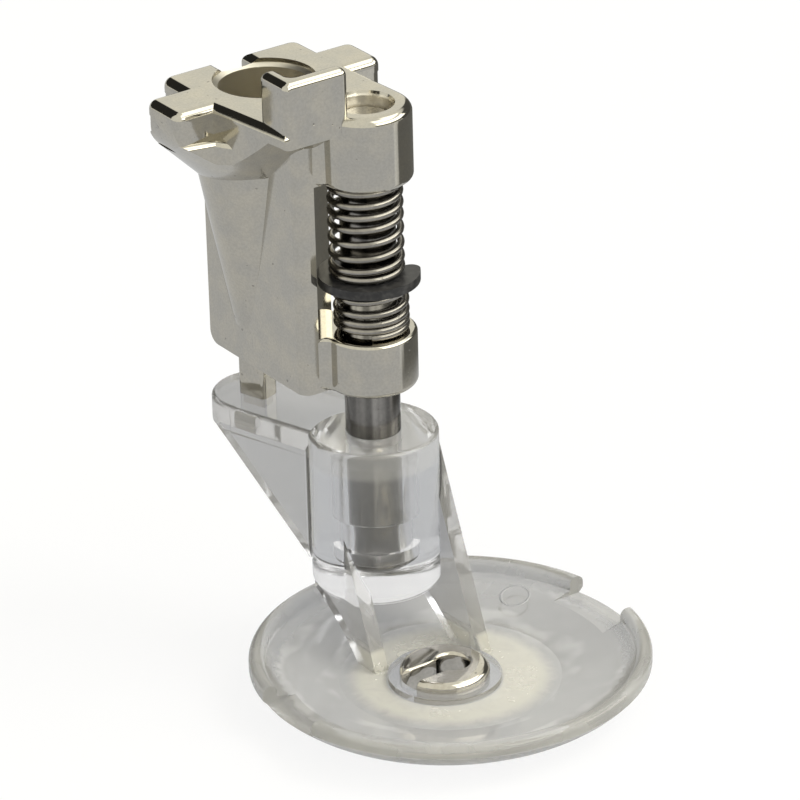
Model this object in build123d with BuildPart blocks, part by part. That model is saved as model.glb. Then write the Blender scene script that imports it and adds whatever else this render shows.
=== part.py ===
from build123d import *
import os
from math import acos, atan2, cos, degrees, hypot, radians, sin

# Free-motion presser foot with a clear bowl sole, in millimetres.
# Origin: socket axis at the top face of the cast head. +Z is up, the rod side is -Y.

os.makedirs("parts", exist_ok=True)

# Cast head: the plate, seen from above
tab_reach = 9.05
tab_half_w = 2.1
back_bar_y = 5.0
back_bar_left = 5.9
back_bar_right = 6.1
side_left_front = 4.92
side_right = 6.2
front_y = 9.9
top_round = 0.7
slab_t = 1.1
parting_step = 0.06
tab_corner_r = 0.8
bar_corner_r = 0.9
bar_notch_w = 2.6
bar_notch_depth = 1.3
corner_floor_z = 2.5
corner_fill = 0.75
corner_fill_front = 5.2
corner_fill_round = 0.45

# Cast head: the underside, a 45 degree cone whose axis is a little behind the socket's
cone_y = 1.4
cone_reach = 11.85
chamfer_reach = 11.2

# Upright lug on the front left of the plate
lug_left = 4.72
lug_w = 5.45
lug_reach = 3.4
lug_wall = 1.3
lug_height = 3.8
lug_top_round = 0.6
lug_side_round = 0.45

# Socket that takes the presser bar's end
socket_r = 3.45
socket_rim_r = 3.85
socket_rim_depth = 0.35
socket_step = 0.2
socket_land = 3.0
socket_tip_r = 2.9
socket_depth = 11.0
socket_wall_y = 0.55
socket_wall_top_r = 5.67
socket_wall_top_z = 3.0
socket_wall_end_r = 2.65
socket_wall_end_z = 19.5

# Column below the socket
column_half_w = 2.5
column_back_y = 4.9
column_front_y = 7.7
column_bottom_z = 22.32
column_edge_round = 0.9
column_heel_round = 1.0

# Two rings that carry the rod
rod_x = 3.1
rod_y = -8.3
ring_r = 3.48
upper_ring_h = 5.83
lower_ring_h = 4.35
ring_join_r = 0.8
ring_chamfer = 0.4
ring_foot_round = 0.5
lower_ring_top_round = 0.3
pocket_r = 4.25
rod_mouth_r = 2.25
rod_mouth_depth = 0.5
rod_mouth_taper = 20.0

# Plunger rod
rod_r = 2.07
rod_slide_gap = 0.05
rod_top_z = 1.1
rod_end_z = 37.0
rod_end_chamfer = 0.7
rod_top_chamfer = 0.25
rod_anchor_r = 1.75
rod_anchor_top_z = 33.0
rod_anchor_h = 2.4
moulding_gap = 0.02

# Retaining clip in the rod's groove
clip_r = 3.8
clip_t = 0.7
clip_z = 13.38
clip_groove_r = 1.65
clip_fit = 0.02
clip_relief_r = 0.55
clip_relief_centre_r = 1.95
clip_relief_angle = 70.0
clip_mouth_angle = 116.0
clip_turn = 41.0
clip_lobe_round = 0.7

# Springs
spring_mean_r = 2.55
wire_r = 0.275
spring_seat_gap = 0.03
upper_turns = 7.2
lower_turns = 4.3

# Guide pin
pin_x = -0.33
pin_y = 1.96
pin_w = 1.7
pin_l = 2.5
pin_corner_r = 0.35
pin_top_z = 16.0
pin_slide_gap = 0.05
pin_bore_top_z = 12.2
pin_top_chamfer = 0.3
pin_tenon_inset = 0.25
pin_tenon_gap = 0.02

# Clear sole: boss, flange and web
boss_r = 4.88
boss_top_z = 26.2
boss_bottom_z = 38.9
boss_bottom_round = 0.9
flange_t = 2.1
flange_half_w = 3.55
flange_end_r = 3.7
flange_end_x = 0.1
flange_end_y = 2.3
flange_round = 0.35
web_t = 1.2
web_inset = 0.15
web_foot_z = 37.9
web_foot_reach = 2.6
web_tip = 1.5

# Clear sole: the two front ribs
rib_offset = 4.4
rib_t = 1.2
rib_top_z = 27.8
rib_top_y_left = 8.3
rib_top_y_right = 10.5
rib_foot_y_left = 14.3
rib_foot_y_right = 16.9
rib_back_y_left = 12.2
rib_back_y_right = 13.4
rib_root_y = 6.4
rib_heel_bow = 0.35

# Clear sole: the bowl
bowl_x = 3.1
bowl_y = -17.62
bowl_r = 15.0
rim_top_z = 40.73
rim_t = 1.2
bowl_floor_z = 43.1
bowl_floor_r = 8.3
bowl_bottom_z = 44.2
bowl_bottom_r = 9.2
rim_skirt = 1.0
rim_flat = 0.1
wall_bow_out = 0.6
wall_bow_down = 0.55
rim_notch_w = 6.3
rim_notch_depth = 1.4

# Needle insert and the collar that holds it
insert_x = 2.5
insert_y = -17.7
insert_r = 3.35
insert_top_z = 41.9
insert_round = 0.45
insert_fit = 0.02
collar_r = 4.25
collar_drop = 0.45
needle_hole_r = 1.25
needle_hole_shift = 0.7
needle_slot_w = 1.9
needle_sink = 0.35

# Sizes and places worked out from the values above
ring_centre = (rod_x, rod_y)
lower_ring_top_z = column_bottom_z - lower_ring_h
head_depth = cone_reach - column_half_w
over = 1.0
near = 0.001
tab_end = tab_reach - parting_step
tab_cone_reach = cone_reach + tab_reach - hypot(tab_reach, cone_y)
bulge_run = (tab_cone_reach - tab_end - slab_t) * cos(radians(45))
bulge_end_z = tab_cone_reach - tab_end + bulge_run
bulge_end = (tab_end - bulge_run, -bulge_end_z)
side_run = hypot(side_right - rod_x, -tab_half_w - rod_y)
side_angle = atan2(-tab_half_w - rod_y, side_right - rod_x) - acos(ring_r / side_run)
side_touch = (rod_x + ring_r * cos(side_angle), rod_y + ring_r * sin(side_angle))
pin_turn = degrees(atan2(rod_x - pin_x, pin_y - rod_y))
flange_run = hypot(rod_x - flange_end_x, rod_y - flange_end_y)
flange_middle = ((rod_x + flange_end_x) / 2, (rod_y + flange_end_y) / 2)
web_dir = (flange_end_x - rod_x, flange_end_y - rod_y, 0)
web_plane = Plane((rod_x, rod_y, 0), x_dir=web_dir, z_dir=(flange_end_y - rod_y, rod_x - flange_end_x, 0))
rod_axis = Axis((rod_x, rod_y, 0), (0, 0, 1))
upper_spring_top = upper_ring_h + spring_seat_gap
upper_spring_end = clip_z - spring_seat_gap
lower_spring_top = clip_z + clip_t + spring_seat_gap
lower_spring_end = lower_ring_top_z - spring_seat_gap


def plate_outline():
    """Outline of the plate with its tabs and the notch in the back bar, without the ring."""
    with BuildSketch() as outline:
        with BuildLine():
            Polyline(
                (-back_bar_left, back_bar_y),
                (back_bar_right, back_bar_y),
                (side_right, -tab_half_w),
                side_touch,
                (rod_x, -front_y),
                (-side_left_front, -front_y),
                (-back_bar_left, -tab_half_w),
                close=True,
            )
        make_face()
        fillet(outline.vertices().group_by(Axis.Y)[-1], bar_corner_r)
        Rectangle(2 * tab_reach, 2 * tab_half_w)
        fillet(outline.vertices().filter_by(lambda v: abs(v.X) > tab_reach - near), tab_corner_r)
        with Locations((0, back_bar_y)):
            Rectangle(bar_notch_w, 2 * bar_notch_depth, mode=Mode.SUBTRACT)
    return outline.sketch


# Plate: a slab with all of its top edges rounded
with BuildPart() as slab:
    with BuildSketch():
        add(plate_outline())
        with Locations(ring_centre):
            Circle(ring_r)
    extrude(amount=-slab_t)
    fillet(slab.faces().sort_by(Axis.Z)[-1].edges(), top_round)

# Everything that lies inside the cone under the head
with BuildPart() as underside:
    with BuildSketch(Plane.XZ.offset(-cone_y)):
        with BuildLine():
            Polyline(
                (0, over),
                (cone_reach + over, over),
                (cone_reach - head_depth, -head_depth),
                (0, -head_depth),
                close=True,
            )
        make_face()
    revolve(axis=Axis((0, cone_y, 0), (0, 0, 1)))

# What the bulged tab ends leave out of the cone, one side
with BuildPart() as tab_trim:
    with BuildSketch(Plane.XZ):
        with BuildLine():
            TangentArc((tab_end, -slab_t), bulge_end, tangent=(0, -1))
            Polyline(
                bulge_end,
                (cone_reach + over, -bulge_end_z),
                (cone_reach + over, over),
                (tab_end, over),
                (tab_end, -slab_t),
            )
        make_face()
    extrude(amount=tab_half_w + corner_fill, both=True)
    mirror(about=Plane.YZ)

# Webs in the corners beside the tabs, with a rounded brow
with BuildPart() as corner_webs:
    with BuildSketch(Plane.XY.offset(-corner_floor_z)):
        with BuildLine():
            Polyline(
                (-tab_reach, tab_half_w),
                (-tab_reach, -tab_half_w),
                (-back_bar_left - corner_fill / 2, -tab_half_w - corner_fill),
                (-side_left_front, -corner_fill_front),
                (side_right, -corner_fill_front),
                (back_bar_right + corner_fill / 2, -tab_half_w - corner_fill),
                (tab_reach, -tab_half_w),
                (tab_reach, tab_half_w),
                (back_bar_right + corner_fill / 2, tab_half_w + corner_fill),
                (back_bar_right - corner_fill, back_bar_y - parting_step),
                (corner_fill - back_bar_left, back_bar_y - parting_step),
                (-back_bar_left - corner_fill / 2, tab_half_w + corner_fill),
                close=True,
            )
        make_face()
    extrude(amount=corner_floor_z - head_depth)
    fillet(corner_webs.faces().sort_by(Axis.Z)[-1].edges(), corner_fill_round)

# Body under the plate, cut to the cone and to the slope at the front
with BuildPart() as head:
    with BuildSketch(Plane.XY.offset(-slab_t)):
        add(plate_outline())
        offset(amount=-parting_step, kind=Kind.INTERSECTION)
    extrude(amount=slab_t - head_depth)
    add(corner_webs.part)
    add(underside.part, mode=Mode.INTERSECT)
    with BuildSketch(Plane.YZ):
        with BuildLine():
            Polyline(
                (-chamfer_reach - over, over),
                (-chamfer_reach + head_depth, -head_depth),
                (back_bar_y + over, -head_depth),
                (back_bar_y + over, over),
                close=True,
            )
        make_face()
    extrude(amount=tab_reach, both=True, mode=Mode.INTERSECT)
    add(tab_trim.part, mode=Mode.SUBTRACT)

# Upright lug, an L of two thin walls with its corner at the front left
with BuildPart() as lug:
    with BuildSketch(Plane.XY.offset(-chamfer_reach + front_y)):
        with Locations((-lug_left, -front_y)):
            Rectangle(lug_w, lug_wall, align=Align.MIN)
            Rectangle(lug_wall, lug_reach, align=Align.MIN)
    extrude(amount=lug_height + chamfer_reach - front_y)
    fillet(lug.edges().filter_by(Axis.Z), lug_side_round)
    fillet(lug.faces().sort_by(Axis.Z)[-1].edges(), lug_top_round)

# Column with its foot rounded
with BuildPart() as column:
    with BuildSketch(Plane.XY.offset(-column_bottom_z)):
        with Locations((0, (column_back_y - column_front_y) / 2)):
            Rectangle(2 * column_half_w, column_back_y + column_front_y)
    extrude(amount=column_bottom_z - socket_rim_depth - over)
    front_edges = column.edges().filter_by(Axis.Z).group_by(Axis.Y)[0]
    fillet(front_edges, column_edge_round)
    heel = column.edges().filter_by(Axis.X).group_by(Axis.Z)[0].sort_by(Axis.Y)[-1]
    fillet(heel, column_heel_round)
    with Locations((rod_x, rod_y, -(upper_ring_h + lower_ring_top_z) / 2)):
        Cylinder(pocket_r, lower_ring_top_z - upper_ring_h, mode=Mode.SUBTRACT)

# The two rings, each with its concave join to the column
with BuildPart() as rings:
    for top, height, foot in (
        (slab_t, upper_ring_h - slab_t, ring_chamfer),
        (lower_ring_top_z, lower_ring_h, ring_foot_round),
    ):
        with BuildSketch(Plane.XY.offset(-top)):
            with Locations(ring_centre):
                Circle(ring_r)
            with Locations((0, -column_front_y / 2)):
                Rectangle(2 * column_half_w - 2 * column_edge_round, column_front_y)
            front = vertices().filter_by(lambda v: abs(v.Y + column_front_y) < near)
            fillet(front.sort_by(Axis.X)[-1], ring_join_r)
        extrude(amount=-height)
        arcs = edges(Select.LAST).filter_by(GeomType.CIRCLE)
        arcs = arcs.filter_by(lambda e: abs(e.radius - ring_r) < near).group_by(Axis.Z)
        fillet(arcs[0], foot)
        if top == lower_ring_top_z:
            fillet(arcs[-1], lower_ring_top_round)

# The whole casting
with BuildPart() as clamp_body:
    add(slab.part)
    add(head.part)
    add(rings.part)
    add(column.part)
    add(lug.part)
    with BuildSketch(Plane.XZ.offset(-socket_wall_y)):
        with BuildLine():
            Polyline(
                (0, -socket_wall_top_z),
                (socket_wall_top_r, -socket_wall_top_z),
                (socket_wall_end_r, -socket_wall_end_z),
                (0, -socket_wall_end_z),
                close=True,
            )
        make_face()
    revolve(axis=Axis((0, socket_wall_y, 0), (0, 0, 1)))
    with Locations((rod_x, rod_y, -(upper_ring_h + lower_ring_top_z) / 2)):
        Cylinder(pocket_r, lower_ring_top_z - upper_ring_h, mode=Mode.SUBTRACT)
    with BuildSketch(Plane.XZ):
        with BuildLine():
            Polyline(
                (0, over),
                (socket_rim_r, over),
                (socket_rim_r, -socket_rim_depth),
                (socket_r, -socket_rim_depth - socket_step),
                (socket_r, -socket_land),
                (socket_tip_r, -socket_depth),
                (0, -socket_depth),
                close=True,
            )
        make_face()
    revolve(axis=Axis.Z, mode=Mode.SUBTRACT)
    with BuildSketch():
        with Locations(ring_centre):
            Circle(rod_r + rod_slide_gap)
    extrude(amount=-column_bottom_z, mode=Mode.SUBTRACT)
    with BuildSketch():
        with Locations(ring_centre):
            Circle(rod_mouth_r)
    extrude(amount=-rod_mouth_depth, taper=rod_mouth_taper, mode=Mode.SUBTRACT)
    with BuildSketch(Plane.XY.offset(-column_bottom_z)):
        with Locations(Location((pin_x, pin_y), pin_turn)):
            RectangleRounded(pin_w + 2 * pin_slide_gap, pin_l + 2 * pin_slide_gap, pin_corner_r)
    extrude(amount=column_bottom_z - pin_bore_top_z, mode=Mode.SUBTRACT)
clamp_body.part.label = "clamp_body"
export_step(clamp_body.part, "parts/clamp_body.step")

# Plunger rod, turned, with its clip groove and the waist that anchors it in the boss
with BuildPart() as plunger_rod:
    with BuildSketch(Plane.XZ.offset(-rod_y)):
        with BuildLine():
            Polyline(
                (rod_x, -rod_top_z),
                (rod_x + rod_r - rod_top_chamfer, -rod_top_z),
                (rod_x + rod_r, -rod_top_z - rod_top_chamfer),
                (rod_x + rod_r, -clip_z + clip_fit),
                (rod_x + clip_groove_r, -clip_z + clip_fit),
                (rod_x + clip_groove_r, -clip_z - clip_t - clip_fit),
                (rod_x + rod_r, -clip_z - clip_t - clip_fit),
                (rod_x + rod_r, -rod_anchor_top_z),
                (rod_x + rod_anchor_r, -rod_anchor_top_z),
                (rod_x + rod_anchor_r, -rod_anchor_top_z - rod_anchor_h),
                (rod_x + rod_r, -rod_anchor_top_z - rod_anchor_h),
                (rod_x + rod_r, -rod_end_z + rod_end_chamfer),
                (rod_x + rod_r - rod_end_chamfer, -rod_end_z),
                (rod_x, -rod_end_z),
                close=True,
            )
        make_face()
    revolve(axis=rod_axis)
plunger_rod.part.label = "plunger_rod"
export_step(plunger_rod.part, "parts/plunger_rod.step")

# Retaining clip: an E shape with two relief holes and rounded lobes beside its mouth
with BuildPart() as retaining_clip:
    with BuildSketch(Plane.XY.offset(-clip_z - clip_t)):
        with BuildLine():
            lobe = CenterArc(ring_centre, clip_r, clip_turn + clip_mouth_angle / 2, 360 - clip_mouth_angle)
            Polyline(lobe @ 1, ring_centre, lobe @ 0)
        make_face()
        fillet(vertices().sort_by(lambda v: -hypot(v.X - rod_x, v.Y - rod_y))[:2], clip_lobe_round)
        with Locations(Location(ring_centre, clip_turn)):
            Circle(clip_groove_r + clip_fit, mode=Mode.SUBTRACT)
            with PolarLocations(
                clip_relief_centre_r,
                2,
                start_angle=180 - clip_relief_angle / 2,
                angular_range=clip_relief_angle,
                endpoint=True,
            ):
                Circle(clip_relief_r, mode=Mode.SUBTRACT)
    extrude(amount=clip_t)
retaining_clip.part.label = "retaining_clip"
export_step(retaining_clip.part, "parts/retaining_clip.step")


def coil_spring(name, top_z, end_z, turns):
    """A compression spring round the rod, between two heights below the plate."""
    height = end_z - top_z - 2 * wire_r
    with BuildPart() as spring:
        with BuildLine(Plane((rod_x, rod_y, -end_z + wire_r))):
            path = Helix(height / turns, height, spring_mean_r)
        with BuildSketch(Plane(path @ 0, z_dir=path % 0)):
            Circle(wire_r)
        sweep(is_frenet=True)
    spring.part.label = name
    return spring.part


upper_spring = coil_spring("upper_spring", upper_spring_top, upper_spring_end, upper_turns)
export_step(upper_spring, "parts/upper_spring.step")
lower_spring = coil_spring("lower_spring", lower_spring_top, lower_spring_end, lower_turns)
export_step(lower_spring, "parts/lower_spring.step")

# Guide pin with a thinner tenon through the flange
with BuildPart() as guide_pin:
    with BuildSketch(Plane.XY.offset(-boss_top_z)):
        with Locations(Location((pin_x, pin_y), pin_turn)):
            RectangleRounded(pin_w, pin_l, pin_corner_r)
    extrude(amount=boss_top_z - pin_top_z)
    chamfer(guide_pin.faces().sort_by(Axis.Z)[-1].edges(), pin_top_chamfer)
    with BuildSketch(Plane.XY.offset(-boss_top_z)):
        with Locations(Location((pin_x, pin_y), pin_turn)):
            RectangleRounded(
                pin_w - 2 * pin_tenon_inset,
                pin_l - 2 * pin_tenon_inset,
                pin_corner_r - pin_tenon_inset,
            )
    extrude(amount=-flange_t)
guide_pin.part.label = "guide_pin"
export_step(guide_pin.part, "parts/guide_pin.step")


def rib(side, top_y, foot_y, back_y):
    """One front rib, from the boss down to the bowl floor. Side is -1 for left."""
    outer = rod_x + side * rib_offset
    with BuildPart() as plate:
        with BuildSketch(Plane.YZ.offset(outer)):
            with BuildLine():
                Polyline((-rib_root_y, -boss_bottom_z), (-rib_root_y, -rib_top_z), (-top_y, -rib_top_z))
                Line((-top_y, -rib_top_z), (-foot_y, -bowl_floor_z - collar_drop))
                Line((-foot_y, -bowl_floor_z - collar_drop), (-back_y, -bowl_floor_z - collar_drop))
                ThreePointArc(
                    (-back_y, -bowl_floor_z - collar_drop),
                    (-(rib_root_y + back_y) / 2 - rib_heel_bow, -(boss_bottom_z + bowl_floor_z) / 2),
                    (-rib_root_y, -boss_bottom_z),
                )
            make_face()
        extrude(amount=-side * rib_t)
    return plate.part


# Bowl, turned about its own axis, with two notches in the rim
with BuildPart() as bowl:
    with BuildSketch(Plane.XZ.offset(-bowl_y)):
        wall_bow = (
            bowl_x + (bowl_r + bowl_bottom_r) / 2 + wall_bow_out,
            -(rim_top_z + rim_skirt + bowl_bottom_z) / 2 - wall_bow_down,
        )
        with BuildLine():
            Polyline(
                (bowl_x, -bowl_floor_z),
                (bowl_x + bowl_floor_r, -bowl_floor_z),
                (bowl_x + bowl_r - rim_t, -rim_top_z - rim_skirt),
                (bowl_x + bowl_r - rim_t, -rim_top_z),
                (bowl_x + bowl_r, -rim_top_z),
                (bowl_x + bowl_r, -rim_top_z - rim_skirt),
            )
            ThreePointArc(
                (bowl_x + bowl_r, -rim_top_z - rim_skirt),
                wall_bow,
                (bowl_x + bowl_bottom_r, -bowl_bottom_z),
            )
            Polyline(
                (bowl_x + bowl_bottom_r, -bowl_bottom_z),
                (bowl_x, -bowl_bottom_z),
                (bowl_x, -bowl_floor_z),
            )
        make_face()
    revolve(axis=Axis((bowl_x, bowl_y, 0), (0, 0, 1)))
    rim_edges = bowl.edges().group_by(Axis.Z)[-1]
    fillet(rim_edges, (rim_t - rim_flat) / 2)
    with Locations((bowl_x, bowl_y, -rim_top_z)):
        Box(2 * bowl_r + over, rim_notch_w, 2 * rim_notch_depth, mode=Mode.SUBTRACT)

# Flange and boss, joined at the top face
with BuildPart() as carrier:
    with BuildSketch(Plane.XY.offset(-boss_top_z)):
        with Locations(ring_centre):
            Circle(boss_r)
        with Locations((flange_end_x, flange_end_y)):
            Circle(flange_end_r)
        with Locations(Location(flange_middle, pin_turn)):
            Rectangle(2 * flange_half_w, flange_run)
    extrude(amount=-flange_t)
    fillet(carrier.faces().sort_by(Axis.Z)[-1].edges(), flange_round)
with BuildPart() as boss:
    with BuildSketch(Plane.XY.offset(-boss_bottom_z)):
        with Locations(ring_centre):
            Circle(boss_r)
    extrude(amount=boss_bottom_z - boss_top_z - flange_t / 2)
    fillet(boss.faces().sort_by(Axis.Z)[0].edges(), boss_bottom_round)

# Web under the left side of the flange, in line with the rod and the pin
with BuildPart() as web:
    with BuildSketch(web_plane.offset(web_t + web_inset - flange_half_w)):
        with BuildLine():
            Polyline(
                (0, -boss_top_z - flange_t / 2),
                (flange_run + web_tip, -boss_top_z - flange_t / 2),
                (flange_run + web_tip, -boss_top_z - flange_t),
                (web_foot_reach, -web_foot_z),
                (0, -web_foot_z),
                close=True,
            )
        make_face()
    extrude(amount=-web_t)

# The whole clear moulding
with BuildPart() as bowl_sole:
    add(carrier.part)
    add(boss.part)
    add(web.part)
    add(bowl.part)
    add(rib(-1, rib_top_y_left, rib_foot_y_left, rib_back_y_left))
    add(rib(1, rib_top_y_right, rib_foot_y_right, rib_back_y_right))
    with Locations((insert_x, insert_y, -bowl_bottom_z)):
        Cylinder(
            collar_r,
            bowl_bottom_z - bowl_floor_z + collar_drop,
            align=(Align.CENTER, Align.CENTER, Align.MIN),
        )
        Cylinder(
            insert_r + insert_fit,
            bowl_bottom_z,
            align=(Align.CENTER, Align.CENTER, Align.MIN),
            mode=Mode.SUBTRACT,
        )
    with BuildSketch(Plane.XZ.offset(-rod_y)):
        with BuildLine():
            Polyline(
                (rod_x, -boss_top_z + over),
                (rod_x + rod_r + moulding_gap, -boss_top_z + over),
                (rod_x + rod_r + moulding_gap, -rod_anchor_top_z - moulding_gap),
                (rod_x + rod_anchor_r + moulding_gap, -rod_anchor_top_z - moulding_gap),
                (rod_x + rod_anchor_r + moulding_gap, -rod_anchor_top_z - rod_anchor_h + moulding_gap),
                (rod_x + rod_r + moulding_gap, -rod_anchor_top_z - rod_anchor_h + moulding_gap),
                (rod_x + rod_r + moulding_gap, -rod_end_z + rod_end_chamfer),
                (rod_x + rod_r - rod_end_chamfer, -rod_end_z - moulding_gap),
                (rod_x, -rod_end_z - moulding_gap),
                close=True,
            )
        make_face()
    revolve(axis=rod_axis, mode=Mode.SUBTRACT)
    with BuildSketch(Plane.XY.offset(-boss_top_z)):
        with Locations(Location((pin_x, pin_y), pin_turn)):
            RectangleRounded(
                pin_w - 2 * (pin_tenon_inset - pin_tenon_gap),
                pin_l - 2 * (pin_tenon_inset - pin_tenon_gap),
                pin_corner_r - pin_tenon_inset + pin_tenon_gap,
            )
    extrude(amount=-flange_t, mode=Mode.SUBTRACT)
bowl_sole.part.label = "bowl_sole"
export_step(bowl_sole.part, "parts/bowl_sole.step")

# Needle insert: a ring with a keyhole that is open to the left
with BuildPart() as needle_insert:
    with BuildSketch(Plane.XY.offset(-bowl_bottom_z)):
        with Locations((insert_x, insert_y)):
            Circle(insert_r)
    extrude(amount=bowl_bottom_z - insert_top_z)
    fillet(needle_insert.faces().sort_by(Axis.Z)[-1].edges(), insert_round)
    with BuildSketch(Plane.XY.offset(-insert_top_z)):
        with Locations((insert_x + needle_hole_shift, insert_y)):
            Circle(needle_hole_r)
        with Locations((insert_x + needle_hole_shift - insert_r, insert_y)):
            Rectangle(2 * insert_r, needle_slot_w)
    extrude(amount=insert_top_z - bowl_bottom_z, mode=Mode.SUBTRACT)
    mouth_edges = needle_insert.edges().group_by(Axis.Z)[-1]
    mouth_edges = mouth_edges.filter_by(lambda e: abs(e.center().Y - insert_y) < needle_hole_r)
    chamfer(mouth_edges, needle_sink)
needle_insert.part.label = "needle_insert"
export_step(needle_insert.part, "parts/needle_insert.step")
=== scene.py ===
"""Dresses the clear-bowl presser foot: nickel plated head, steel rod, springs, black clip and clear sole.

Every length is in metres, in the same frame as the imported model: the origin is on the socket axis at the
plate's top face, +Z is up, and the rod and the bowl stand on the -Y side.
"""

import logging
from dataclasses import dataclass, field
from enum import Enum
from math import cos, pi, radians, sin

import bpy
import numpy as np
from mathutils import Matrix, Vector


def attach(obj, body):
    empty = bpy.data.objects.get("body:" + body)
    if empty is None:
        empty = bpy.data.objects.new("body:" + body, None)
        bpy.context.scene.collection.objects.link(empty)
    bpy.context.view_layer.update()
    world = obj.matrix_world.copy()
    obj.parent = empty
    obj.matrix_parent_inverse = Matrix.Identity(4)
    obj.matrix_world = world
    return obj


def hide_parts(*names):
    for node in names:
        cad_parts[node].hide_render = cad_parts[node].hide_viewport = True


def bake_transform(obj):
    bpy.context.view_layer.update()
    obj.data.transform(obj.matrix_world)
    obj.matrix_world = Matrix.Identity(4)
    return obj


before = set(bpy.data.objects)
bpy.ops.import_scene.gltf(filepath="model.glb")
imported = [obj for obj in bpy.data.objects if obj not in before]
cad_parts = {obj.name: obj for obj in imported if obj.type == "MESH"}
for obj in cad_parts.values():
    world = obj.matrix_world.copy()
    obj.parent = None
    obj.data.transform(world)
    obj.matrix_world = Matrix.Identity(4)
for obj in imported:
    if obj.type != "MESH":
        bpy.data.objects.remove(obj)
log = logging.getLogger("presser_foot")
MM = 0.001


class Body(Enum):
    """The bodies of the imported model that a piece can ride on."""

    HEAD = "head"
    SOLE = "sole"


class Sock:
    """A shader value that can be used in Python arithmetic. Each operator adds one Math node."""

    def __init__(self, shader: "Shader", value: object) -> None:
        """Keeps the tree and the socket or number."""
        self.shader = shader
        self.value = value

    def _math(self, operation: str, a: object, b: object) -> "Sock":
        """One Math node on two values."""
        return self.shader.node("ShaderNodeMath", {"operation": operation}, {0: a, 1: b})

    def __add__(self, other: object) -> "Sock":
        """self + other"""
        return self._math("ADD", self, other)

    __radd__ = __add__

    def __mul__(self, other: object) -> "Sock":
        """self * other"""
        return self._math("MULTIPLY", self, other)

    __rmul__ = __mul__

    def __sub__(self, other: object) -> "Sock":
        """self - other"""
        return self._math("SUBTRACT", self, other)

    def __rsub__(self, other: object) -> "Sock":
        """other - self"""
        return self._math("SUBTRACT", other, self)

    def size(self) -> "Sock":
        """The length of a vector."""
        return self.shader.node("ShaderNodeVectorMath", {"operation": "LENGTH"}, {0: self}, "Value")

    def moved(self, x: float, y: float, z: float) -> "Sock":
        """A vector with a point taken from it."""
        return self.shader.node("ShaderNodeVectorMath", {"operation": "SUBTRACT"}, {0: self, 1: (x, y, z)})

    def flat(self) -> "Sock":
        """A vector with its height left out."""
        return self.shader.node("ShaderNodeVectorMath", {"operation": "MULTIPLY"}, {0: self, 1: (1.0, 1.0, 0.0)})

    def towards(self, azimuth: float) -> "Sock":
        """The cosine between a vector's course over ground and an azimuth in degrees."""
        unit = self.shader.node("ShaderNodeVectorMath", {"operation": "NORMALIZE"}, {0: self.flat()})
        course = (cos(radians(azimuth)), sin(radians(azimuth)), 0.0)
        return self.shader.node("ShaderNodeVectorMath", {"operation": "DOT_PRODUCT"}, {0: unit, 1: course}, "Value")

    def height(self) -> "Sock":
        """A vector's Z."""
        return self.shader.node("ShaderNodeSeparateXYZ", None, {0: self}, "Z")

    def clamp(self, low: float, high: float) -> "Sock":
        """self held between two numbers."""
        return self._math("MAXIMUM", self._math("MINIMUM", self, high), low)

    def step_between(self, low: float, high: float) -> "Sock":
        """A smooth rise from 0 at low to 1 at high."""
        return self.shader.node(
            "ShaderNodeMapRange",
            {"interpolation_type": "SMOOTHSTEP"},
            {"Value": self, "From Min": low, "From Max": high, "To Min": 0.0, "To Max": 1.0},
        )


class Shader:
    """A node tree of one material or of the world."""

    def __init__(self, owner: object) -> None:
        """Empties the owner's tree.

        Args:
            owner: a material or a world
        """
        owner.use_nodes = True
        self.tree = owner.node_tree
        self.tree.nodes.clear()

    def node(self, kind: str, settings: dict | None = None, inputs: dict | None = None, out: object = 0) -> Sock:
        """Adds a node.

        Args:
            kind: the node's type name
            settings: its properties
            inputs: values or Socks by socket name or number
            out: the output that the result stands for

        Returns:
            that output
        """
        made = self.tree.nodes.new(kind)
        for key, value in (settings or {}).items():
            setattr(made, key, value)
        for key, value in (inputs or {}).items():
            plain = value.value if isinstance(value, Sock) else value
            if isinstance(plain, bpy.types.NodeSocket):
                self.tree.links.new(plain, made.inputs[key])
            else:
                made.inputs[key].default_value = plain
        return Sock(self, made.outputs[out] if len(made.outputs) else None)

    def place(self) -> Sock:
        """Object coordinates, in metres."""
        return self.node("ShaderNodeTexCoord", out="Object")

    def noise(self, scale: float, detail: float = 3.0, roughness: float = 0.5, distortion: float = 0.0) -> Sock:
        """Noise in object coordinates, with scale in features for each metre."""
        return self.node(
            "ShaderNodeTexNoise",
            None,
            {
                "Vector": self.place(),
                "Scale": scale,
                "Detail": detail,
                "Roughness": roughness,
                "Distortion": distortion,
            },
            "Fac",
        )

    def mix_colour(self, factor: Sock, first: tuple, second: tuple) -> Sock:
        """A colour between two, by a factor."""
        return self.node(
            "ShaderNodeMix",
            {"data_type": "RGBA"},
            {0: factor, 6: (*first, 1.0), 7: (*second, 1.0)},
            2,
        )

    def mix_links(self, factor: Sock, first: Sock, second: tuple) -> Sock:
        """A colour between a link's and a fixed one, by a factor."""
        return self.node("ShaderNodeMix", {"data_type": "RGBA"}, {0: factor, 6: first, 7: (*second, 1.0)}, 2)

    def painted_reflection_streaks(self, scale: float) -> Sock:
        """Uneven painted reflection streaks that run down a part along Z, with scale in streaks for each metre round
        it.
        """
        stretch = self.node("ShaderNodeVectorMath", {"operation": "MULTIPLY"}, {0: self.place(), 1: (1.0, 1.0, 0.02)})
        return self.node("ShaderNodeTexNoise", None, {"Vector": stretch, "Scale": scale, "Detail": 2.0}, "Fac")

    def bump(self, height: Sock, strength: float, distance: float, below: Sock | None = None) -> Sock:
        """A normal from a height, with the depth of its relief in metres, over another normal if there is one."""
        inputs = {"Height": height, "Strength": strength, "Distance": distance}
        if below is not None:
            inputs["Normal"] = below
        return self.node("ShaderNodeBump", None, inputs)


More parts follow.
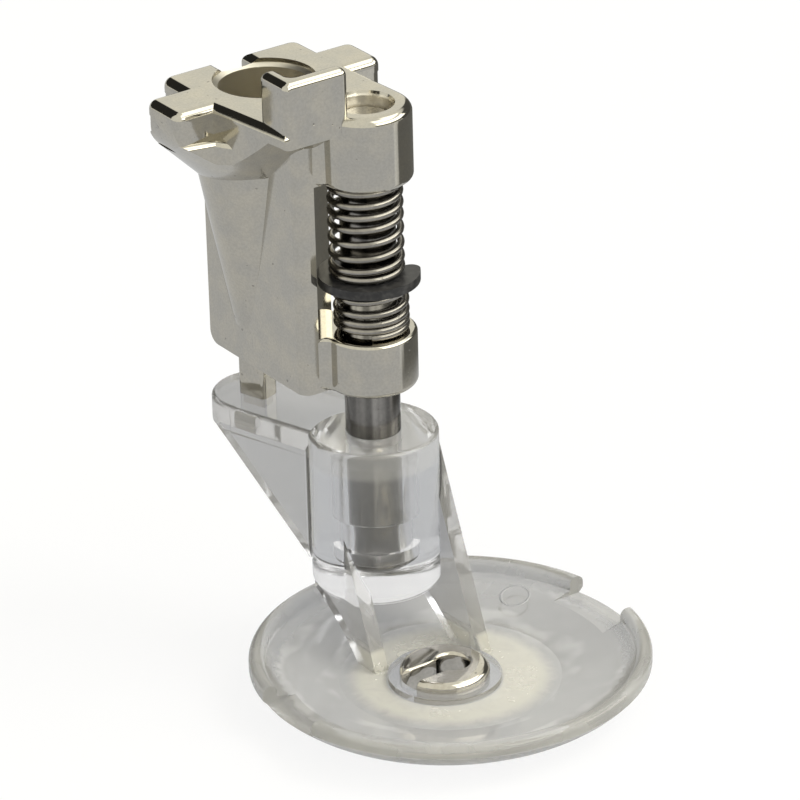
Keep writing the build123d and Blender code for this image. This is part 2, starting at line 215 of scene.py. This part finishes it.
@dataclass(frozen=True)
class Bore:
    """An upright hole, whose wall is duller than the outside and painted lighter, as painted light gathered in the
    hole.
    """

    x: float
    y: float
    radius: float
    top_z: float
    foot_z: float

    def mask(self, place: Sock) -> Sock:
        """1 inside the hole and 0 outside, by the distance from its axis and the height."""
        away = place.moved(self.x, self.y, 0.0).flat().size()
        inside = 1.0 - away.step_between(self.radius, self.radius + 0.06 * MM)
        height = place.height()
        below = 1.0 - height.step_between(self.top_z - 0.1 * MM, self.top_z)
        return inside * below * height.step_between(self.foot_z - 0.05 * MM, self.foot_z)


@dataclass(frozen=True)
class MetalFinish:
    """A metal surface: its colour drifts between two tones, with a few pits, and fine relief softens its mirror.
    Where asked, dark streaks down it are painted reflections, and its bores get a lighter wall as painted light.
    """

    name: str
    light: tuple
    dark: tuple
    rough_low: float
    rough_high: float
    mottle_scale: float = 420.0
    pit_scale: float = 2300.0
    pit_low: float = 0.76
    pit_high: float = 0.79
    pit_depth: float = 0.03 * MM
    peel_scale: float = 1500.0
    peel_depth: float = 0.02 * MM
    peel_strength: float = 0.2
    # The streak share, top and scale set dark painted reflection streaks down the part.
    streak_share: float = 0.0
    painted_streak_top_z: float = -1.15 * MM
    streak_scale: float = 900.0
    grain_scale: float = 5200.0
    grain_share: float = 0.08
    pit_tone: float = 0.7
    # The bore wall tone is painted light: a lighter wall that stands in for light gathered in the holes.
    bore_painted_light_tone: tuple = (0.86, 0.82, 0.72)
    bore_roughness: float = 0.27
    bores: tuple = ()

    def build(self) -> bpy.types.Material:
        """Makes the material.

        Returns:
            the new material
        """
        material = bpy.data.materials.new(self.name)
        shader = Shader(material)
        place = shader.place()
        mottle = shader.noise(self.mottle_scale, 4.0, 0.6)
        grain = shader.noise(self.grain_scale, 2.0, 0.5).step_between(0.3, 0.7)
        pits = shader.noise(self.pit_scale, 1.0, 0.4).step_between(self.pit_low, self.pit_high)
        relief = shader.bump(shader.noise(self.peel_scale, 3.0, 0.55), self.peel_strength, self.peel_depth)
        relief = shader.bump(1.0 - pits, 0.5, self.pit_depth, relief)
        colour = shader.mix_colour(mottle.step_between(0.35, 0.7), self.dark, self.light)
        tone = pits * (1.0 - self.pit_tone) + grain * self.grain_share
        # Dark streaks down the part below its top: painted reflections of the surround's dark and bright sectors.
        if self.streak_share:
            below = 1.0 - place.height().step_between(self.painted_streak_top_z - 0.1 * MM, self.painted_streak_top_z)
            streaks = shader.painted_reflection_streaks(self.streak_scale).step_between(0.38, 0.62)
            tone = tone + streaks * below * self.streak_share
        colour = shader.mix_links(tone, colour, (0.0, 0.0, 0.0))
        rough = self.rough_low + mottle * (self.rough_high - self.rough_low)
        for bore in self.bores:
            # Inside each bore: a rougher finish, and a lighter tone that is painted light gathered in the hole.
            inside = bore.mask(place)
            colour = shader.mix_links(inside, colour, self.bore_painted_light_tone)
            rough = rough + inside * (self.bore_roughness - self.rough_low)
        bsdf = shader.node(
            "ShaderNodeBsdfPrincipled",
            None,
            {"Base Color": colour, "Metallic": 1.0, "Roughness": rough, "Normal": relief},
        )
        shader.node("ShaderNodeOutputMaterial", None, {"Surface": bsdf})
        return material


@dataclass(frozen=True)
class OxideFinish:
    """Black oxide on a stamped clip: nearly black, with a dull sheen."""

    name: str
    grain_scale: float = 1800.0
    light: tuple = (0.045, 0.044, 0.044)
    dark: tuple = (0.012, 0.012, 0.013)
    rough_low: float = 0.30
    rough_high: float = 0.48

    def build(self) -> bpy.types.Material:
        """Makes the material.

        Returns:
            the new material
        """
        material = bpy.data.materials.new(self.name)
        shader = Shader(material)
        grain = shader.noise(self.grain_scale, 4.0, 0.6)
        bsdf = shader.node(
            "ShaderNodeBsdfPrincipled",
            None,
            {
                "Base Color": shader.mix_colour(grain.step_between(0.4, 0.8), self.dark, self.light),
                "Roughness": self.rough_low + grain * (self.rough_high - self.rough_low),
                "Normal": shader.bump(grain, 0.2, 0.01 * MM),
            },
        )
        shader.node("ShaderNodeOutputMaterial", None, {"Surface": bsdf})
        return material


@dataclass(frozen=True)
class ClearFinish:
    """Clear moulded plastic: a faint milky veil, flow marks, a frosted disc and one ejector mark."""

    name: str
    tint: tuple = (0.94, 0.94, 0.94)
    veil_colour: tuple = (0.50, 0.495, 0.485)
    veil_share: float = 0.30
    roughness: float = 0.03
    ior: float = 1.46
    frost_colour: tuple = (0.72, 0.70, 0.62)
    frost_share: float = 0.42
    frost_x: float = 3.1 * MM
    frost_y: float = -17.62 * MM
    frost_r: float = 8.1 * MM
    mark_x: float = 13.3 * MM
    mark_y: float = -11.8 * MM
    mark_r: float = 1.1 * MM
    seat_x: float = 2.5 * MM
    seat_y: float = -17.7 * MM
    seat_r: float = 4.3 * MM
    boss_x: float = 3.1 * MM
    boss_y: float = -8.3 * MM
    boss_r: float = 4.95 * MM
    boss_veil: float = 0.3
    seat_veil: float = 0.4
    boss_top_z: float = -28.6 * MM
    boss_foot_z: float = -40.5 * MM
    floor_top_z: float = -41.8 * MM
    rim_top_z: float = -38.6 * MM
    flow_scale: float = 260.0
    cloud_scale: float = 700.0
    bowl_r: float = 12.6 * MM
    bowl_veil: float = 1.35
    streak_colour: tuple = (0.86, 0.86, 0.85)
    streak_scale: float = 85.0
    streak_share: float = 0.6
    rim_colour: tuple = (0.66, 0.655, 0.62)
    rim_share: float = 0.34

    def build(self) -> bpy.types.Material:
        """Makes the material.

        Returns:
            the new material
        """
        material = bpy.data.materials.new(self.name)
        shader = Shader(material)
        place = shader.place()
        flow = shader.noise(self.flow_scale, 2.0, 0.4)
        cloud = shader.noise(self.cloud_scale, 3.0, 0.5, 1.5)
        height = place.height()
        low = 1.0 - height.step_between(self.floor_top_z, self.floor_top_z + 0.5 * MM)
        low_rim = 1.0 - height.step_between(self.rim_top_z, self.rim_top_z + 0.3 * MM)
        away = place.moved(self.frost_x, self.frost_y, 0.0).flat().size() + (cloud - 0.5) * (1.2 * MM)
        frost = low * (1.0 - away.step_between(self.frost_r - 1.6 * MM, self.frost_r)) * (0.7 + cloud * 0.6)
        from_seat = place.moved(self.seat_x, self.seat_y, 0.0).flat().size()
        frost = frost * from_seat.step_between(self.seat_r - 0.2 * MM, self.seat_r + 0.2 * MM)
        from_mark = place.moved(self.mark_x, self.mark_y, 0.0).flat().size()
        mark = from_mark.step_between(self.mark_r - 0.12 * MM, self.mark_r)
        mark = mark * (1.0 - from_mark.step_between(self.mark_r, self.mark_r + 0.12 * MM)) * low
        relief = shader.bump(flow, 0.15, 0.05 * MM)
        relief = shader.bump(mark, 0.7, 0.12 * MM, relief)
        clear = shader.node(
            "ShaderNodeBsdfPrincipled",
            None,
            {
                "Base Color": (*self.tint, 1.0),
                "Roughness": self.roughness + flow * 0.06 + frost * 0.2,
                "IOR": self.ior,
                "Transmission Weight": 1.0,
                "Normal": relief,
            },
        )
        rings = shader.node(
            "ShaderNodeTexWave",
            {"wave_type": "RINGS", "rings_direction": "Z"},
            {
                "Vector": place.moved(self.frost_x, self.frost_y, 0.0),
                "Scale": self.streak_scale,
                "Distortion": 7.0,
                "Detail": 3.0,
                "Detail Scale": 1.2,
            },
            "Fac",
        )
        inner = 1.0 - away.step_between(self.bowl_r, self.bowl_r + 0.8 * MM)
        floor = low * inner * away.step_between(self.frost_r - 0.8 * MM, self.frost_r + 0.8 * MM)
        streaks = rings.step_between(0.6, 1.0) * flow.step_between(0.4, 0.6) * floor * self.streak_share
        veil_tone = shader.mix_colour(frost, self.veil_colour, self.frost_colour)
        outside = away.step_between(self.bowl_r + 0.6 * MM, self.bowl_r + 1.4 * MM)
        rim = low_rim * outside * (0.55 + rings * 0.6)
        veil_tone = shader.mix_links(rim.clamp(0.0, 1.0), veil_tone, self.rim_colour)
        veil = shader.node(
            "ShaderNodeBsdfPrincipled",
            None,
            {
                "Base Color": shader.mix_links(streaks, veil_tone, self.streak_colour),
                "Roughness": 0.3,
                "Normal": relief,
            },
        )
        from_boss = place.moved(self.boss_x, self.boss_y, 0.0).flat().size()
        boss = 1.0 - from_boss.step_between(self.boss_r, self.boss_r + 0.1 * MM)
        boss = boss * (1.0 - height.step_between(self.boss_top_z, self.boss_top_z + 0.7 * MM))
        boss = boss * height.step_between(self.boss_foot_z, self.boss_foot_z + 1.0 * MM)
        seat = low * (1.0 - from_seat.step_between(self.seat_r - 0.2 * MM, self.seat_r + 0.2 * MM))
        thin = (1.0 - boss * (1.0 - self.boss_veil)) * (1.0 - seat * (1.0 - self.seat_veil))
        share = (flow * 0.3 + 0.85) * self.veil_share * thin * (1.0 + low * inner * (self.bowl_veil - 1.0))
        share = share + frost * (self.frost_share - self.veil_share)
        share = share + rim * (self.rim_share - self.veil_share)
        surface = shader.node("ShaderNodeMixShader", None, {0: share, 1: clear, 2: veil})
        shader.node("ShaderNodeOutputMaterial", None, {"Surface": surface})
        return material


def dress(piece: bpy.types.Object, material: bpy.types.Material) -> None:
    """Puts one material on a whole piece."""
    piece.data.materials.clear()
    piece.data.materials.append(material)


def grid_mesh(name: str, points: np.ndarray) -> bpy.types.Object:
    """Makes a smooth closed mesh from a grid of points, and turns its faces outwards by the sign of its volume.

    Each row is a closed loop. The first and the last row are closed with a fan about their middles.

    Args:
        name: the new object's name
        points: an array of rows, columns and 3 coordinates, in metres

    Returns:
        the new object, linked to the scene
    """
    rows, columns = points.shape[:2]
    index = np.arange(rows * columns).reshape(rows, columns)
    lower, upper = index[:-1], index[1:]
    quads = np.stack([lower, np.roll(lower, -1, 1), np.roll(upper, -1, 1), upper], -1)
    middles = np.stack([points[0].mean(0), points[-1].mean(0)])
    vertices = np.concatenate([points.reshape(-1, 3), middles])
    first, last = index[0], index[-1]
    start, stop = rows * columns, rows * columns + 1
    faces = quads.reshape(-1, 4).tolist()
    faces += np.stack([np.full(columns, start), np.roll(first, -1), first], -1).tolist()
    faces += np.stack([np.full(columns, stop), last, np.roll(last, -1)], -1).tolist()
    corners = vertices[quads.reshape(-1, 4)]
    inner = vertices.mean(0)
    volume = np.einsum("ij,ij->", corners[:, 0] - inner, np.cross(corners[:, 1] - inner, corners[:, 2] - inner))
    if volume < 0.0:
        faces = [face[::-1] for face in faces]
    mesh = bpy.data.meshes.new(name)
    mesh.from_pydata(vertices.tolist(), [], faces)
    mesh.polygons.foreach_set("use_smooth", np.ones(len(mesh.polygons), bool))
    mesh.update()
    made = bpy.data.objects.new(name, mesh)
    bpy.context.scene.collection.objects.link(made)
    return made


@dataclass
class CoilSpring:
    """One compression spring of round wire round the rod, right-handed, with closed ends."""

    name: str
    node: str
    top_z: float
    end_z: float
    heights: dict
    side_shift: tuple
    mean_r: float = 2.55 * MM
    wire_r: float = 0.275 * MM
    axis_x: float = 3.1 * MM
    axis_y: float = -8.3 * MM
    front: float = radians(-124.5)
    steps_a_turn: int = 72
    sides: int = 16

    def centreline(self) -> np.ndarray:
        """The wire's centre: the angle falls evenly from turn to turn, and the height runs between given heights.

        Turn 0 is the first pass of the wire in front, and heights maps some turns to the wire's height there, in
        millimetres. Two passes of a short moving mean round the corners between them.

        Returns:
            an array of points, in metres
        """
        turns = np.array(list(self.heights))
        turn = np.linspace(turns[0], turns[-1], int((turns[-1] - turns[0]) * self.steps_a_turn) + 1)
        z = np.interp(turn, turns, np.array(list(self.heights.values())) * MM)
        kernel = np.ones(31) / 31
        for _ in range(2):
            z = np.convolve(np.pad(z, 15, mode="edge"), kernel, mode="valid")
        angle = self.front - 2 * pi * turn
        x = self.axis_x + self.side_shift[0] * MM + self.mean_r * np.cos(angle)
        y = self.axis_y + self.side_shift[1] * MM + self.mean_r * np.sin(angle)
        return np.stack([x, y, z], -1)

    def build(self, material: bpy.types.Material) -> bpy.types.Object:
        """Carries a circle along the centreline. It lies in the plane of the radius and of +Z.

        Args:
            material: the wire's finish

        Returns:
            the spring, which stands for its node
        """
        line = self.centreline()
        middle = (self.axis_x + self.side_shift[0] * MM, self.axis_y + self.side_shift[1] * MM, 0.0)
        radial = line - np.array(middle)
        radial[:, 2] = 0.0
        radial /= np.linalg.norm(radial, axis=1)[:, None]
        around = np.linspace(0.0, 2 * pi, self.sides, endpoint=False)
        up = np.array([0.0, 0.0, 1.0])
        ring = radial[:, None, :] * np.cos(around)[None, :, None] - up * np.sin(around)[None, :, None]
        spring = grid_mesh(self.name, line[:, None, :] + ring * self.wire_r)
        dress(spring, material)
        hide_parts(self.node)
        return spring


@dataclass
class PlungerRod:
    """The turned rod as it shows in the boss, where the plastic lies on it without a gap."""

    axis_x: float = 3.1 * MM
    axis_y: float = -8.3 * MM
    outline: tuple = (
        (0.0, -1.10), (1.78, -1.10), (1.92, -1.13), (2.04, -1.25), (2.07, -1.38), (2.07, -13.36), (1.65, -13.36),
        (1.65, -14.10), (2.07, -14.10), (2.07, -26.05), (2.07, -26.18), (2.04, -26.24), (2.04, -32.98),
        (1.68, -33.00), (1.68, -35.40), (2.04, -35.42), (2.04, -36.30), (1.98, -36.55), (1.40, -37.00), (0.0, -37.00),
    )
    sides: int = 128

    def build(self, material: bpy.types.Material) -> bpy.types.Object:
        """Turns the outline of radius and height about the rod's axis. Two close rows keep each corner crisp.

        Args:
            material: the rod's finish

        Returns:
            the rod, which stands for its node
        """
        corners = np.array(self.outline) * MM
        runs = np.diff(corners, axis=0)
        lengths = np.linalg.norm(runs, axis=1)[:, None]
        close = np.minimum(0.012 * MM, lengths / 3) * runs / lengths
        rows = np.concatenate([np.stack([corners[:-1] + close, corners[1:] - close], 1).reshape(-1, 2)])
        rows = np.concatenate([corners[:1], rows[1:-1], corners[-1:]])
        around = np.linspace(0.0, 2 * pi, self.sides, endpoint=False)
        r, z = rows[1:-1, 0][:, None], rows[1:-1, 1][:, None]
        x, y = self.axis_x + r * np.cos(around), self.axis_y + r * np.sin(around)
        points = np.stack([x, y, z + 0.0 * x], -1)[::-1]
        rod = grid_mesh("plunger_rod_turned", points)
        dress(rod, material)
        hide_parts("plunger_rod")
        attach(rod, Body.SOLE.value)
        return rod


@dataclass
class NeedleRing:
    """The needle insert: an open ring round the needle hole, with rounded edges, that fills its seat."""

    x: float = 2.5 * MM
    y: float = -17.7 * MM
    outer_r: float = 3.375 * MM
    hole_r: float = 1.25 * MM
    hole_shift: float = 0.7 * MM
    slot_half: float = 0.95 * MM
    top_z: float = -41.9 * MM
    foot_z: float = -44.2 * MM
    outer_round: float = 0.55 * MM
    inner_round: float = 0.35 * MM
    steps: int = 160

    def build(self, material: bpy.types.Material) -> bpy.types.Object:
        """Spans a section between the ring's outline and the hole's, from one side of the slot round to the other.

        A section goes up the outer wall, over a quarter circle, across the top, over a smaller quarter circle and
        down the hole's wall. Its width is the distance between the two outlines there.

        Args:
            material: the ring's finish

        Returns:
            the ring, which stands for its node
        """
        turn = np.concatenate([[0.0, 0.002], np.linspace(0.004, 0.996, self.steps), [0.998, 1.0]])
        opening_out = np.arcsin(self.slot_half / self.outer_r)
        opening_in = np.arcsin(self.slot_half / self.hole_r)
        out = pi + opening_out + turn * (2 * pi - 2 * opening_out)
        into = pi + opening_in + turn * (2 * pi - 2 * opening_in)
        outer = np.stack([self.x + self.outer_r * np.cos(out), self.y + self.outer_r * np.sin(out)], -1)
        hole_x = self.x + self.hole_shift
        inner = np.stack([hole_x + self.hole_r * np.cos(into), self.y + self.hole_r * np.sin(into)], -1)
        width = np.linalg.norm(inner - outer, axis=1)[:, None]
        bend = np.linspace(0.0, pi / 2, 9)
        big, small = self.outer_round, self.inner_round
        near = np.concatenate([[0.0, 0.0], big * (1 - np.cos(bend))])
        near_z = np.concatenate([[self.foot_z, self.top_z - big - 0.02 * MM], self.top_z - big + big * np.sin(bend)])
        far = np.concatenate([small * (1 - np.cos(bend[::-1])), [0.0, 0.0]])
        down = [self.top_z - small - 0.02 * MM, self.foot_z]
        far_z = np.concatenate([self.top_z - small + small * np.sin(bend[::-1]), down])
        across = np.concatenate([np.tile(near, (len(turn), 1)), width - far[None, :]], 1)
        z = np.tile(np.concatenate([near_z, far_z]), (len(turn), 1))
        course = (inner - outer) / width
        flat = outer[:, None, :] + course[:, None, :] * across[:, :, None]
        ring = grid_mesh("needle_ring", np.concatenate([flat, z[:, :, None]], -1))
        dress(ring, material)
        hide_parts("needle_insert")
        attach(ring, Body.SOLE.value)
        return ring


@dataclass
class PhotoCamera:
    """The camera, solved from the photograph: a long lens, above and to the front left."""

    azimuth: float = -34.5
    elevation: float = 26.05
    roll: float = 1.5
    focal_pixels: float = 5300.0
    image_pixels: float = 800.0
    target: tuple = (5.77, -8.0, -24.85)
    distance: float = 394.85
    sensor: float = 36.0

    def build(self) -> bpy.types.Object:
        """Makes the scene's camera.

        Returns:
            the camera
        """
        a, e, r = radians(self.azimuth), radians(self.elevation), radians(self.roll)
        right = Vector((cos(a), sin(a), 0.0))
        back = Vector((sin(a) * cos(e), -cos(a) * cos(e), sin(e)))
        up = back.cross(right)
        across = cos(r) * right - sin(r) * up
        upward = sin(r) * right + cos(r) * up
        data = bpy.data.cameras.new("photo_camera")
        data.sensor_width = self.sensor
        data.lens = self.focal_pixels / self.image_pixels * self.sensor
        data.clip_start = 0.01
        data.clip_end = 10.0
        camera = bpy.data.objects.new("photo_camera", data)
        bpy.context.scene.collection.objects.link(camera)
        turn = Matrix((across, upward, back)).transposed().to_4x4()
        place = (Vector(self.target) + back * self.distance) * MM
        camera.matrix_world = Matrix.Translation(place) @ turn
        bpy.context.scene.camera = camera
        return camera


@dataclass(frozen=True)
class Panel:
    """A part of the surround between two azimuths in degrees and two heights of the unit direction."""

    azimuth: float
    half_width: float
    low: float
    high: float
    soft: float = 0.03

    def mask(self, direction: Sock) -> Sock:
        """1 inside the panel and 0 outside, with soft edges."""
        edge = cos(radians(self.half_width))
        inner = cos(radians(max(self.half_width - 5.0, 0.0)))
        across = direction.towards(self.azimuth).step_between(edge, inner)
        height = direction.height()
        above = height.step_between(self.low, self.low + self.soft)
        return across * above * (1.0 - height.step_between(self.high - self.soft, self.high))


@dataclass
class Studio:
    """A pale floor and a white room. Metal mirrors a grey floor, with a painted dark sector and a painted bright line
    on it, dark flags and softboxes.

    darks and softboxes pair each panel of the room with what it takes from the plain level or adds to it.
    """

    floor_size: float = 3.0
    floor_z: float = -44.6 * MM
    floor_colour: tuple = (0.8, 0.8, 0.79)
    mirrored_floor: tuple = (0.53, 0.54, 0.56)
    mirrored_room: tuple = (0.94, 0.92, 0.82)
    # A dark sector and a bright line painted on the floor, seen only in the metal's reflections.
    floor_painted_dark_reflection: Panel = Panel(8.0, 57.0, -1.0, 1.0)
    floor_painted_reflection_line: Panel = Panel(-46.0, 8.0, -1.0, 1.0)
    dark_from: float = 46.0 * MM
    line_from: float = 52.0 * MM
    edge: float = 8.0 * MM
    darks: tuple = (
        (Panel(105.0, 38.0, 0.03, 0.93), 0.97),
        (Panel(-60.0, 42.0, 0.03, 0.22), 0.9),
        (Panel(10.0, 36.0, -0.3, 0.60, 0.10), 0.9),
    )
    softboxes: tuple = ((Panel(-50.0, 48.0, 0.28, 0.60), 3.0), (Panel(-40.0, 60.0, 0.68, 0.95), 1.6))
    lowest: float = 0.03
    highest: float = 4.0

    def build(self) -> None:
        """Makes the floor, the world and the lamps."""
        self._floor()
        self._world()
        self._lamp("key_softbox", (0.30, -0.26, 0.42), 0.25, 1.2)
        self._lamp("fill_softbox", (-0.45, -0.35, 0.25), 0.40, 0.4)

    def _floor(self) -> None:
        """A large flat sheet under the bowl, nearly white to the camera, with the object's shadow on it. To metal it
        glows grey, with a painted dark sector and a painted bright line far from the object, as painted reflections.
        """
        half = self.floor_size / 2
        mesh = bpy.data.meshes.new("studio_floor")
        corners = [(-half, -half, 0), (half, -half, 0), (half, half, 0), (-half, half, 0)]
        mesh.from_pydata([(x, y, self.floor_z) for x, y, _ in corners], [], [(0, 1, 2, 3)])
        floor = bpy.data.objects.new("studio_floor", mesh)
        bpy.context.scene.collection.objects.link(floor)
        material = bpy.data.materials.new("pale_floor")
        shader = Shader(material)
        path = shader.tree.nodes.new("ShaderNodeLightPath")
        camera = Sock(shader, path.outputs["Is Camera Ray"])
        mirrored = Sock(shader, path.outputs["Is Glossy Ray"])
        through = Sock(shader, path.outputs["Is Transmission Ray"])
        place = shader.place().moved(3.0 * MM, -8.0 * MM, self.floor_z)
        away = place.size()
        # Painted reflections: a dark sector and a bright line on the floor that only glossy rays see.
        dark = self.floor_painted_dark_reflection.mask(place) * away.step_between(self.dark_from, self.dark_from + self.edge)
        line = self.floor_painted_reflection_line.mask(place) * away.step_between(self.line_from, self.line_from + self.edge)
        colour = shader.mix_colour(mirrored, (1.0, 1.0, 1.0), self.mirrored_floor)
        colour = shader.mix_links(mirrored * dark * 0.97, colour, (0.01, 0.01, 0.01))
        colour = shader.mix_links(mirrored * line * 0.7, colour, (0.9, 0.9, 0.88))
        diffuse = shader.node("ShaderNodeBsdfDiffuse", None, {"Color": (*self.floor_colour, 1.0)})
        glow = shader.node("ShaderNodeEmission", None, {"Color": colour, "Strength": 1.0})
        share = camera * 0.85 + mirrored * 0.88 + through * 0.6
        mixed = shader.node("ShaderNodeMixShader", None, {0: share.clamp(0.0, 1.0), 1: diffuse, 2: glow})
        shader.node("ShaderNodeOutputMaterial", None, {"Surface": mixed})
        dress(floor, material)

    def _world(self) -> None:
        """The surround: white to the camera and through the plastic, and a lit room with panels to the metal."""
        world = bpy.data.worlds.new("studio_world")
        bpy.context.scene.world = world
        shader = Shader(world)
        direction = shader.node("ShaderNodeTexCoord", out="Generated")
        level = 1.0
        for panel, strength in self.darks:
            level = level - panel.mask(direction) * strength
        for panel, strength in self.softboxes:
            level = level + panel.mask(direction) * strength
        lit = shader.node(
            "ShaderNodeBackground",
            None,
            {"Color": (*self.mirrored_room, 1.0), "Strength": level.clamp(self.lowest, self.highest)},
        )
        white = shader.node("ShaderNodeBackground", None, {"Color": (1.0, 1.0, 1.0, 1.0), "Strength": 1.0})
        path = shader.tree.nodes.new("ShaderNodeLightPath")
        plain = Sock(shader, path.outputs["Is Camera Ray"]) + Sock(shader, path.outputs["Is Transmission Ray"])
        mixed = shader.node("ShaderNodeMixShader", None, {0: plain.clamp(0.0, 1.0), 1: lit, 2: white})
        shader.node("ShaderNodeOutputWorld", None, {"Surface": mixed})

    def _lamp(self, name: str, place: tuple, size: float, power: float) -> None:
        """One square soft lamp that faces the object. The room's panels stand for it where metal mirrors it."""
        data = bpy.data.lights.new(name, "AREA")
        data.shape = "SQUARE"
        data.size = size
        data.energy = power
        lamp = bpy.data.objects.new(name, data)
        lamp.location = place
        lamp.rotation_euler = (-Vector(place)).to_track_quat("-Z", "Y").to_euler()
        lamp.visible_glossy = False
        bpy.context.scene.collection.objects.link(lamp)


def cad_node(name: str, material: bpy.types.Material) -> bpy.types.Object:
    """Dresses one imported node.

    Args:
        name: the node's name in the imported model
        material: its finish

    Returns:
        the node's object
    """
    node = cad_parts[name]
    dress(node, material)
    log.info("dressed %s, %d faces", name, len(node.data.polygons))
    return node


@dataclass
class ClampHead:
    """The plated casting, with the presser bar's socket and the hole that the rod slides in."""

    # The walls of both bores are painted lighter, as painted light gathered in the holes.
    socket: Bore = Bore(0.0, 0.0, 3.9 * MM, -0.25 * MM, -9.0 * MM)
    rod_hole: Bore = Bore(3.1 * MM, -8.3 * MM, 2.3 * MM, -0.15 * MM, -5.7 * MM)
    light: tuple = (0.64, 0.605, 0.52)
    dark: tuple = (0.57, 0.55, 0.495)
    rough_low: float = 0.04
    rough_high: float = 0.14
    peel_strength: float = 0.12

    def build(self) -> bpy.types.Material:
        """Dresses the casting.

        Returns:
            its finish, for the pin that is plated with it
        """
        nickel = MetalFinish(
            "nickel_plate",
            self.light,
            self.dark,
            self.rough_low,
            self.rough_high,
            peel_strength=self.peel_strength,
            bores=(self.socket, self.rod_hole),
        ).build()
        cad_node("clamp_body", nickel)
        return nickel


@dataclass
class PlungerSet:
    """What slides with the sole above the plastic: the rod, its clip and the guide pin."""

    rod: PlungerRod = field(default_factory=PlungerRod)
    steel_light: tuple = (0.43, 0.415, 0.39)
    steel_dark: tuple = (0.34, 0.325, 0.305)
    # How dark the painted reflection streaks down the rod are.
    streak_share: float = 0.55

    def build(self, nickel: bpy.types.Material) -> None:
        """Makes the rod, and dresses the clip and the pin.

        Args:
            nickel: the pin's finish
        """
        steel = MetalFinish(
            "turned_steel", self.steel_light, self.steel_dark, 0.14, 0.24, streak_share=self.streak_share
        ).build()
        cad_node("plunger_rod", steel)
        cad_node("retaining_clip", OxideFinish("black_oxide").build())
        cad_node("guide_pin", nickel)
        rod = self.rod.build(steel)
        log.info("made %s, %d faces", rod.name, len(rod.data.polygons))


@dataclass
class SpringPair:
    """The two springs, one on each side of the clip. Each is held between the head and the sole."""

    upper: CoilSpring = field(
        default_factory=lambda: CoilSpring(
            "upper_spring_wire",
            "upper_spring",
            -5.83 * MM,
            -13.38 * MM,
            {
                -0.3: -6.12, 0.0: -6.12, 1.0: -7.16, 2.0: -8.07, 3.0: -9.02, 4.0: -10.17, 5.0: -11.36, 6.0: -12.39,
                7.0: -13.09, 7.25: -13.09,
            },
            (-0.12, 0.08),
        )
    )
    lower: CoilSpring = field(
        default_factory=lambda: CoilSpring(
            "lower_spring_wire",
            "lower_spring",
            -14.08 * MM,
            -17.97 * MM,
            {-0.6: -14.37, -0.3: -14.37, 0.0: -14.8, 1.0: -15.85, 2.0: -16.6, 3.0: -17.15, 4.0: -17.68},
            (0.08, -0.06),
        )
    )
    wire_light: tuple = (0.41, 0.39, 0.36)
    wire_dark: tuple = (0.31, 0.295, 0.27)

    def build(self) -> None:
        """Makes both springs. The upper one hangs from the head, and the lower one stands on it."""
        wire = MetalFinish("spring_steel", self.wire_light, self.wire_dark, 0.16, 0.28).build()
        held = ((self.upper, Body.HEAD, Body.SOLE), (self.lower, Body.SOLE, Body.HEAD))
        for spring, above, below in held:
            cad_node(spring.node, wire)
            made = spring.build(wire)
            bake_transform(made)
            log.info("made %s, %d faces", made.name, len(made.data.polygons))


@dataclass
class ClearSole:
    """The clear moulding with the bowl, and the metal ring in the bowl's floor."""

    insert: NeedleRing = field(default_factory=NeedleRing)
    bright_light: tuple = (0.72, 0.69, 0.63)
    bright_dark: tuple = (0.60, 0.57, 0.50)

    def build(self) -> None:
        """Dresses the moulding and makes the ring."""
        cad_node("bowl_sole", ClearFinish("clear_plastic").build())
        bright = MetalFinish("nickel_insert", self.bright_light, self.bright_dark, 0.05, 0.12).build()
        cad_node("needle_insert", bright)
        ring = self.insert.build(bright)
        log.info("made %s, %d faces", ring.name, len(ring.data.polygons))


def main() -> None:
    """Builds the whole picture."""
    logging.basicConfig(level=logging.INFO)
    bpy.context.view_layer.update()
    bpy.context.scene.view_settings.view_transform = "Standard"
    PhotoCamera().build()
    Studio().build()
    nickel = ClampHead().build()
    PlungerSet().build(nickel)
    SpringPair().build()
    ClearSole().build()


if __name__ == "__main__":
    main()
